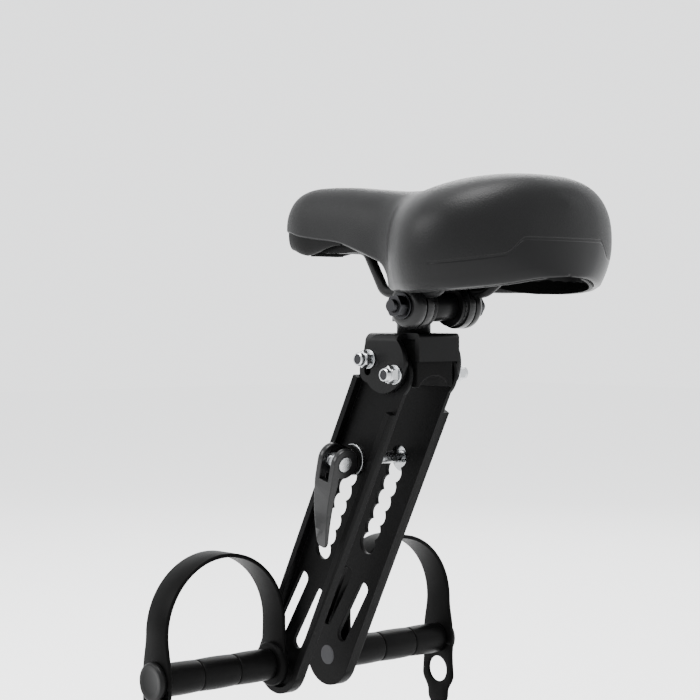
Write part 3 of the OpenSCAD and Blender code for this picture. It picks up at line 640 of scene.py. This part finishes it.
def strap_half_width(height):
    """Half width of the outer side at a height above the peg axis."""
    if height >= STRAP_SIDE:
        return HALF_STRAP
    if height > 6:
        s = (STRAP_SIDE - height) / (STRAP_SIDE - 6)
        return HALF_STRAP + (LOBE_R - 1.0 - HALF_STRAP) * s * s * (3 - 2 * s)
    if height > -TAIL_PITCH - 4:
        between = height + TAIL_PITCH / 2
        waist = math.cos(math.pi * between / (TAIL_PITCH / 2 + 6)) if between > -17 else -1
        return LOBE_R - 0.5 - 0.5 * waist
    s = min((-TAIL_PITCH - 4 - height) / 13.0, 1.0)
    wide = LOBE_R + (HALF_TONGUE - LOBE_R) * s * s * (3 - 2 * s)
    to_tip = TAIL_LOW + height
    if to_tip >= HALF_TONGUE:
        return wide
    return min(wide, math.sqrt(max(HALF_TONGUE**2 - (HALF_TONGUE - to_tip) ** 2, 0)))


def strip_side(path, profile_t):
    """A strip along path, whose entries give middle, direction across, direction out and half width."""
    points, faces = [], []
    ring = 12
    for middle, across_dir, out_dir, half in path:
        half = max(half, 0.3)
        r = min(0.9, half * 0.9)
        t = profile_t / 2
        loop = []
        for sx, st in ((1, 1), (-1, 1), (-1, -1), (1, -1)):
            corner = [(half, t - r), (half - 0.3 * r, t - 0.3 * r), (half - r, t)]
            if sx * st < 0:
                corner.reverse()
            loop += [(sx * w, st * h) for w, h in corner]
        points += [middle + across_dir * w + out_dir * h for w, h in loop]
    for i in range(len(path) - 1):
        for k in range(ring):
            a, b = i * ring + k, i * ring + (k + 1) % ring
            faces.append((a, b, b + ring, a + ring))
    last = (len(path) - 1) * ring
    faces += [tuple(reversed(range(ring))), tuple(range(last, last + ring))]
    return points, faces


def strap_piece():
    across_strip = Vector((1, 0, 0))
    pieces = []
    bottom = PEG[1]
    inner_y, outer_y = -(STRAP_IN + STRAP_T / 2), -(STRAP_OUT - STRAP_T / 2)
    path = []
    for k in range(9):
        h = STRAP_SIDE * k / 8
        path.append((Vector((PEG[0], inner_y, bottom + h)), across_strip, Vector((0, 1, 0)),
                     HALF_STRAP + 2.2 * (1 - k / 8) ** 2))
    for k in range(1, 64):
        a = math.pi * k / 64
        spot = Vector((PEG[0], -MID_Y + ARCH_R * math.cos(a), bottom + STRAP_SIDE + ARCH_R * math.sin(a)))
        path.append((spot, across_strip, Vector((0, math.cos(a), math.sin(a))), HALF_STRAP))
    for k in range(17):
        h = STRAP_SIDE - (STRAP_SIDE + 4) * k / 16
        path.append((Vector((PEG[0], outer_y, bottom + h)), across_strip, Vector((0, -1, 0)),
                     strap_half_width(h)))
    pieces.append(strip_side(path, STRAP_T))

    # The tail below the peg, with its hole: outline and hole share one set of angles
    centre = Vector((PEG[0], outer_y, bottom - TAIL_PITCH))
    count = 96
    t = STRAP_T / 2 - TAIL_SINK
    outline = []
    for k in range(count):
        a = 2 * math.pi * k / count
        direction = Vector((math.cos(a), 0, math.sin(a)))
        reach = 12.0
        while reach < 60:
            spot = direction * reach
            height = -TAIL_PITCH + spot.z
            if height > 3 or height < -TAIL_LOW or abs(spot.x) > strap_half_width(height):
                break
            reach += 0.1
        outline.append(direction * reach)
    points, faces = [], []
    layers = [(0, t - 0.7), (0.3, t - 0.2), (1.0, t)]
    rings = []
    for sign in (1, -1):
        order = layers if sign > 0 else list(reversed(layers))
        for inset, depth in order:
            rings.append([centre + o * (1 - inset / o.length) + Vector((0, sign * depth, 0))
                          for o in outline])
        order = list(reversed(layers)) if sign > 0 else layers
        hole = [centre + o.normalized() * (TAIL_HOLE_R + inset) + Vector((0, sign * depth, 0))
                for inset, depth in order for o in outline]
        rings[len(rings):len(rings)] = [hole[i * count:(i + 1) * count] for i in range(3)]
    top_outer, top_hole, low_outer, low_hole = rings[0:3], rings[3:6], rings[6:9], rings[9:12]
    cycle = top_outer + top_hole + list(reversed(low_hole)) + list(reversed(low_outer))
    for ring_points in cycle:
        points += ring_points
    for i in range(len(cycle)):
        j = (i + 1) % len(cycle)
        for k in range(count):
            m = (k + 1) % count
            faces.append((i * count + k, i * count + m, j * count + m, j * count + k))
    pieces.append((points, faces))
    pieces.append(turned(PEG, [(STRAP_IN - 0.1, CORE_R), (STRAP_IN - 0.1, 14.2), (STRAP_IN + 0.8, 15.0),
                               (GRIP_IN - 1.2, 15.0), (GRIP_IN - 0.3, 14.0), (GRIP_IN - 0.1, 12.6),
                               (GRIP_IN - 0.1, CORE_R)]))
    all_points, all_faces = [], []
    for p, f in pieces:
        base = len(all_points)
        all_points += [tuple(v) for v in p]
        all_faces += [tuple(base + i for i in face) for face in f]
    return all_points, all_faces


pair("rubber_strap", *strap_piece(), STRAP_RUBBER, "legs", "foot_strap")

# %% [markdown]
# A pale floor and broad soft lights make the studio. The seat is black all over, so
# it is drawn by what it mirrors: a wide light above the saddle for the crown, one from
# the front left for the wings and pegs, and a weak one behind for the edges.

# %% Studio
def area_light(name, at, target, size, power):
    data = bpy.data.lights.new(name, "AREA")
    data.shape, data.size, data.energy = "DISK", size, power
    lamp = bpy.data.objects.new(name, data)
    lamp.location = at
    lamp.rotation_mode = "QUATERNION"
    lamp.rotation_quaternion = (Vector(target) - Vector(at)).to_track_quat("-Z", "Y")
    bpy.context.scene.collection.objects.link(lamp)
    return lamp


world = bpy.data.worlds.new("studio")
bpy.context.scene.world = world
world.use_nodes = True
world.node_tree.nodes["Background"].inputs["Color"].default_value = (0.95, 0.96, 0.97, 1)
world.node_tree.nodes["Background"].inputs["Strength"].default_value = 2.2
lamps = [area_light("over the saddle", (0.1, -0.2, 1.5), (0.0, 0, 0.1), 0.9, 45),
         area_light("front left", (-0.9, -1.5, 0.9), (0, 0, 0), 0.8, 30),
         area_light("behind", (-1.0, 1.2, 0.8), (0, 0, 0), 0.8, 8)]
FLOOR = Finish("pale floor", grey(0.97), 0.8, gloss=0.0).material
far, low = 6000, cad_box[0][2] / MM - 40
floor = skin_mesh("floor", [(-far, -far, low), (far, -far, low), (far, far, low), (-far, far, low)],
                  [(0, 1, 2, 3)], FLOOR)
